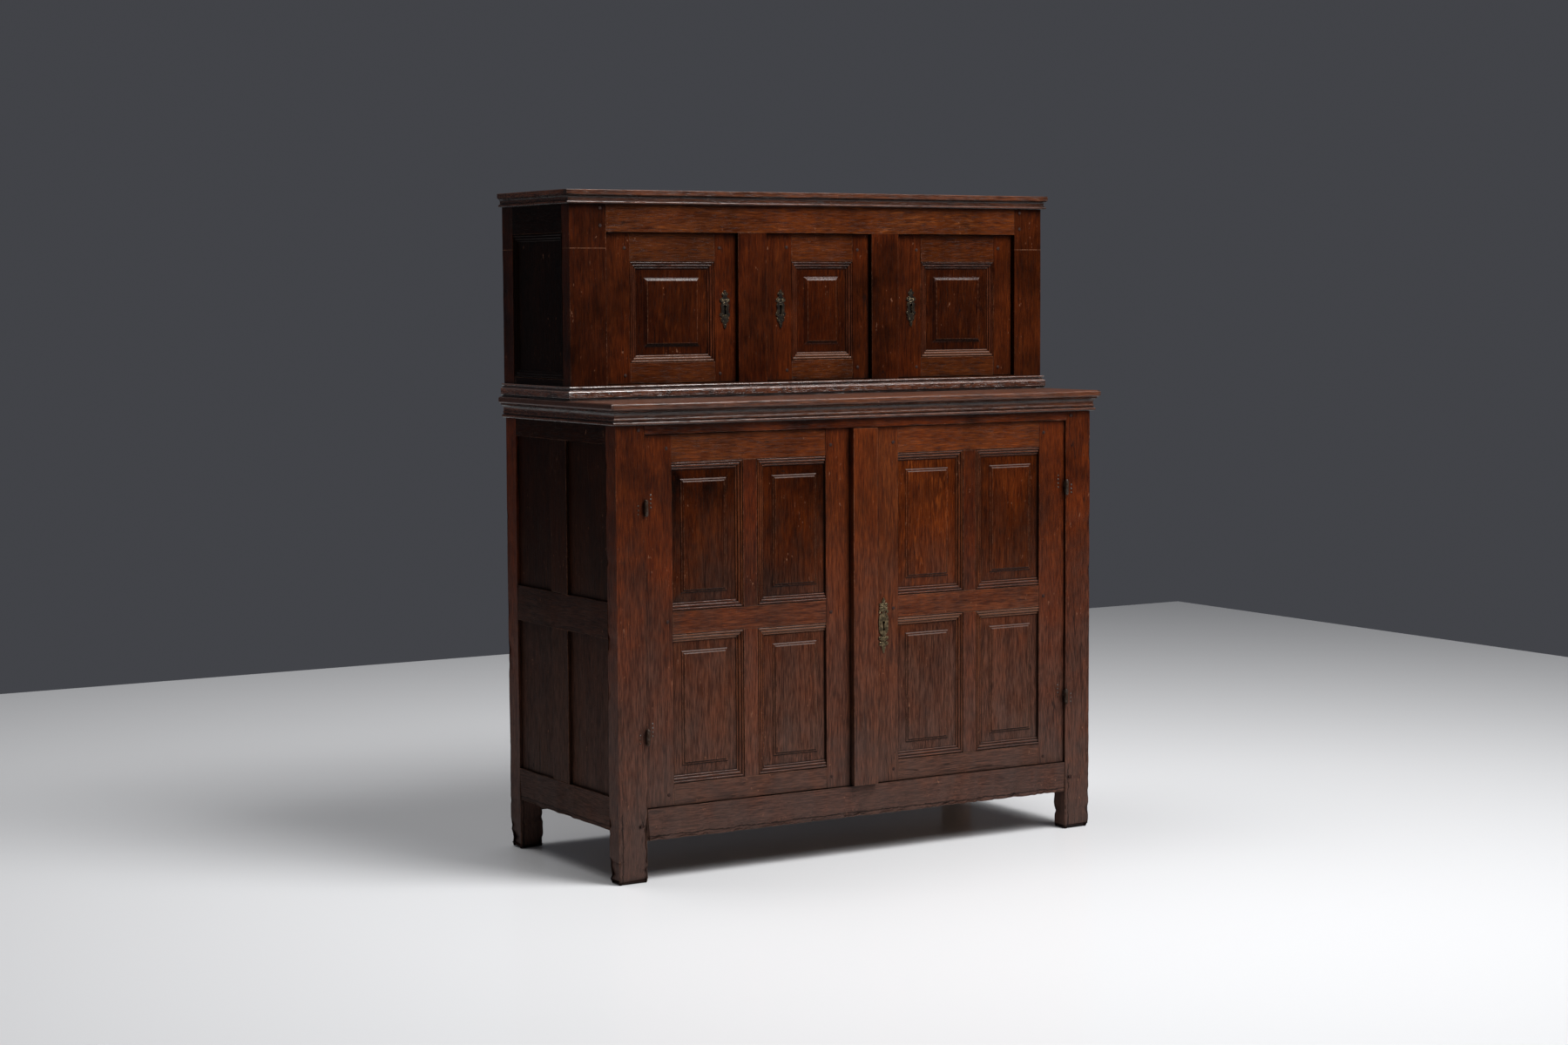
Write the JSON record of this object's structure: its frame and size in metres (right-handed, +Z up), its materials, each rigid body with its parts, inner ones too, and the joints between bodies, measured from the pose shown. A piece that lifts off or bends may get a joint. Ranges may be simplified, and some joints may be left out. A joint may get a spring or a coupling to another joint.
{
  "type": "court cupboard",
  "caption": "Two-stage oak court cupboard: wide panelled case with a pair of doors on stile feet, set-back upper stage with small panelled doors, moulded cornices.",
  "frame": {"origin": "on the floor, below the middle of the case's bounding box", "axes": "+Z up, -Y out of the doors at the front, +X to the right seen from the front"},
  "size_m": [1.301, 0.552, 1.5],
  "materials": {
    "oak": "dark reddish-brown waxed oak, satin, worn lighter at edges",
    "inner_oak": "dry unpolished aged oak, matt",
    "iron": "forged iron, dark, rubbed at the edges",
    "brass": "old pierced brass, olive-gold patina"
  },
  "bodies": {
    "case": {"lower_posts": "oak", "lower_side_frames": "oak", "lower_side_panels": "oak", "lower_floor_boards": "inner_oak", "lower_front_rails": "oak", "shelf_bearers": "inner_oak", "lower_shelf": "inner_oak", "waist_boards": "oak", "waist_cornice": "oak", "upper_side_rails": "oak", "upper_side_panels": "oak", "upper_posts": "oak", "upper_floor_boards": "inner_oak", "back_rails": "inner_oak", "back_boards": "inner_oak", "upper_partitions": "inner_oak", "roof_boards": "inner_oak", "top_cornice": "oak", "waist_base_moulding": "oak", "upper_side_mouldings": "oak", "post_hinge_halves": "iron", "upper_front_rails": "oak", "upper_muntins": "oak", "case_pegs": "oak"},
    "lower_left_door": {"lower_left_door_stiles": "oak", "lower_left_door_rails": "oak", "lower_left_door_muntins": "oak", "lower_left_door_panels": "oak", "lower_left_door_mouldings": "oak", "lower_left_door_hinge_halves": "iron", "flat_bolt_staples": "iron"},
    "lower_right_door": {"lower_right_door_stiles": "oak", "lower_right_door_rails": "oak", "lower_right_door_muntins": "oak", "lower_right_door_panels": "oak", "lower_right_door_mouldings": "oak", "lower_right_door_hinge_halves": "iron", "cover_strip": "oak", "lower_escutcheon": "brass", "lower_lock_case": "iron"},
    "lower_lock_bolt": {"lower_lock_bolt": "iron"},
    "left_door_flat_bolt": {"left_door_flat_bolt": "iron"},
    "upper_left_door": {"upper_left_door_frame": "oak", "upper_left_door_panel": "oak", "upper_left_door_mouldings": "oak", "upper_left_door_escutcheon": "brass", "upper_left_door_ironwork": "iron"},
    "upper_left_lock_bolt": {"upper_left_door_lock_bolt": "iron"},
    "upper_middle_door": {"upper_middle_door_frame": "oak", "upper_middle_door_panel": "oak", "upper_middle_door_mouldings": "oak", "upper_middle_door_escutcheon": "brass", "upper_middle_door_ironwork": "iron"},
    "upper_middle_lock_bolt": {"upper_middle_door_lock_bolt": "iron"},
    "upper_right_door": {"upper_right_door_frame": "oak", "upper_right_door_panel": "oak", "upper_right_door_mouldings": "oak", "upper_right_door_escutcheon": "brass", "upper_right_door_ironwork": "iron"},
    "upper_right_lock_bolt": {"upper_right_door_lock_bolt": "iron"}
  },
  "joints": [
    {"name": "lower_left_door_hinge", "type": "hinge", "parent": "case", "child": "lower_left_door", "pos_m": [-0.56175, -0.263, 0.566], "axis": [0, 0, -1], "range_deg": [0, 170]},
    {"name": "lower_right_door_hinge", "type": "hinge", "parent": "case", "child": "lower_right_door", "pos_m": [0.56175, -0.263, 0.566], "axis": [0, 0, 1], "range_deg": [0, 170]},
    {"name": "upper_left_door_pivot", "type": "hinge", "parent": "case", "child": "upper_left_door", "pos_m": [-0.5375, -0.042, 1.24], "axis": [0, 0, -1], "range_deg": [0, 94]},
    {"name": "upper_middle_door_pivot", "type": "hinge", "parent": "case", "child": "upper_middle_door", "pos_m": [0.1425, -0.042, 1.24], "axis": [0, 0, 1], "range_deg": [0, 94]},
    {"name": "upper_right_door_pivot", "type": "hinge", "parent": "case", "child": "upper_right_door", "pos_m": [0.5505, -0.042, 1.24], "axis": [0, 0, 1], "range_deg": [0, 94]},
    {"name": "lower_lock_bolt_throw", "type": "slide", "parent": "lower_right_door", "child": "lower_lock_bolt", "axis": [-1, 0, 0], "range_m": [0, 0.01]},
    {"name": "flat_bolt_throw", "type": "slide", "parent": "lower_left_door", "child": "left_door_flat_bolt", "axis": [0, 0, 1], "range_m": [0, 0.018]},
    {"name": "upper_left_bolt_throw", "type": "slide", "parent": "upper_left_door", "child": "upper_left_lock_bolt", "axis": [1, 0, 0], "range_m": [0, 0.01]},
    {"name": "upper_middle_bolt_throw", "type": "slide", "parent": "upper_middle_door", "child": "upper_middle_lock_bolt", "axis": [-1, 0, 0], "range_m": [0, 0.01]},
    {"name": "upper_right_bolt_throw", "type": "slide", "parent": "upper_right_door", "child": "upper_right_lock_bolt", "axis": [-1, 0, 0], "range_m": [0, 0.01]}
  ]
}
